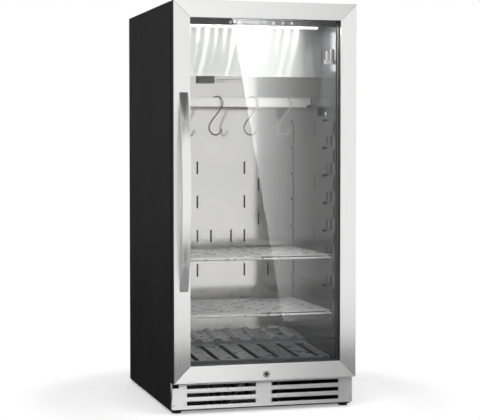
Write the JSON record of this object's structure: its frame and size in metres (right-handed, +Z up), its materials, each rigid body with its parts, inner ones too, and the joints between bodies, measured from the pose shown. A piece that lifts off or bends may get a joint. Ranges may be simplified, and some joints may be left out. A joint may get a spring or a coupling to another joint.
{
  "type": "dry aging cabinet",
  "caption": "Freestanding dry aging cabinet with a glazed steel door, hanging bar with hooks, wire shelves, slotted air panel and a cooling unit in its base.",
  "frame": {"origin": "bottom centre of the bounding box, on the floor", "axes": "+X to the right as seen from the front, -Y towards the user and the door, +Z up"},
  "size_m": [0.595, 0.765, 1.288],
  "materials": {
    "black_paint": "satin black powder coat",
    "brushed_stainless": "brushed",
    "chrome": "polished",
    "black_plastic": "matte",
    "liner_plastic": "satin dark grey",
    "foam": "rigid foam",
    "glass": "clear",
    "spacer_aluminium": "dark anodised",
    "rubber": "matte",
    "bush_polymer": "natural",
    "aluminium": "mill",
    "lens": "diffusing",
    "white_plastic": "satin white"
  },
  "bodies": {
    "cabinet": {"side_panel_left": "black_paint", "side_panel_right": "black_paint", "top_panel": "black_paint", "rear_panel": "black_paint", "machine_cover": "black_paint", "base_frame": "black_paint", "compressor": "black_paint", "air_panel": "brushed_stainless", "duct_cover": "brushed_stainless", "hanging_bar": "brushed_stainless", "kick_grille": "brushed_stainless", "hinge_upper": "chrome", "hinge_lower": "chrome", "lock_keeper": "chrome", "wall_bracket": "white_plastic", "power_inlet": "black_plastic", "fan_frame": "black_plastic", "uv_lamp": "black_plastic", "control_panel": "black_plastic", "drip_tray": "black_plastic", "liner_left": "liner_plastic", "liner_right": "liner_plastic", "liner_ceiling": "liner_plastic", "liner_floor": "liner_plastic", "bar_bracket_left": "liner_plastic", "bar_bracket_right": "liner_plastic", "bottle_rack": "liner_plastic", "foam_left": "foam", "foam_right": "foam", "foam_top": "foam", "foam_back": "foam", "evaporator": "aluminium", "condenser": "aluminium", "light_bar": "aluminium", "light_lens": "lens"},
    "door": {"door_rail_left": "brushed_stainless", "door_rail_right": "brushed_stainless", "door_rail_top": "brushed_stainless", "door_rail_bottom": "brushed_stainless", "door_core": "black_plastic", "glass_outer": "glass", "glass_inner": "glass", "glass_spacer": "spacer_aluminium", "door_gasket": "rubber", "door_handle": "brushed_stainless", "lock_ring": "brushed_stainless", "bush_upper": "bush_polymer", "bush_lower": "bush_polymer"},
    "lock": {"lock_barrel": "black_plastic"},
    "shelf_upper": {"shelf_upper": "chrome"},
    "shelf_lower": {"shelf_lower": "chrome"},
    "hook_left": {"hook_left": "chrome"},
    "hook_middle": {"hook_middle": "chrome"},
    "hook_right": {"hook_right": "chrome"},
    "evaporator_fan": {"evaporator_fan": "black_plastic"},
    "condenser_fan": {"condenser_fan": "black_plastic"},
    "foot_front_left": {"foot_front_left": "rubber"},
    "foot_front_right": {"foot_front_right": "rubber"},
    "foot_rear_left": {"foot_rear_left": "rubber"},
    "foot_rear_right": {"foot_rear_right": "rubber"}
  },
  "joints": [
    {"name": "door_hinge", "type": "hinge", "parent": "cabinet", "child": "door", "pos_m": [0.2815, -0.3185, 0.6944], "axis": [0, 0, 1], "range_deg": [0, 110]},
    {"name": "lock_turn", "type": "hinge", "parent": "door", "child": "lock", "pos_m": [0, -0.3375, 0.121], "axis": [0, 1, 0], "range_deg": [0, 90]},
    {"name": "shelf_upper_slide", "type": "slide", "parent": "cabinet", "child": "shelf_upper", "axis": [0, -1, 0], "range_m": [0, 0.04]},
    {"name": "shelf_lower_slide", "type": "slide", "parent": "cabinet", "child": "shelf_lower", "axis": [0, -1, 0], "range_m": [0, 0.04]},
    {"name": "hook_left_swing", "type": "hinge", "parent": "cabinet", "child": "hook_left", "pos_m": [-0.08121, -0.0275, 1], "axis": [1, 0, 0], "range_deg": [-8, 8]},
    {"name": "hook_middle_swing", "type": "hinge", "parent": "cabinet", "child": "hook_middle", "pos_m": [0.03979, -0.0275, 1], "axis": [1, 0, 0], "range_deg": [-8, 8]},
    {"name": "hook_right_swing", "type": "hinge", "parent": "cabinet", "child": "hook_right", "pos_m": [0.15601, -0.0275, 1], "axis": [1, 0, 0], "range_deg": [-8, 8]},
    {"name": "evaporator_fan_spin", "type": "hinge", "parent": "cabinet", "child": "evaporator_fan", "pos_m": [-0.018, 0.0725, 1.0755], "axis": [0, 0, 1], "continuous": true},
    {"name": "condenser_fan_spin", "type": "hinge", "parent": "cabinet", "child": "condenser_fan", "pos_m": [-0.04, -0.1755, 0.0528], "axis": [0, 1, 0], "continuous": true},
    {"name": "foot_front_left_level", "type": "slide", "parent": "cabinet", "child": "foot_front_left", "axis": [0, 0, -1], "range_m": [0, 0.015]},
    {"name": "foot_front_right_level", "type": "slide", "parent": "cabinet", "child": "foot_front_right", "axis": [0, 0, -1], "range_m": [0, 0.015]},
    {"name": "foot_rear_left_level", "type": "slide", "parent": "cabinet", "child": "foot_rear_left", "axis": [0, 0, -1], "range_m": [0, 0.015]},
    {"name": "foot_rear_right_level", "type": "slide", "parent": "cabinet", "child": "foot_rear_right", "axis": [0, 0, -1], "range_m": [0, 0.015]}
  ]
}
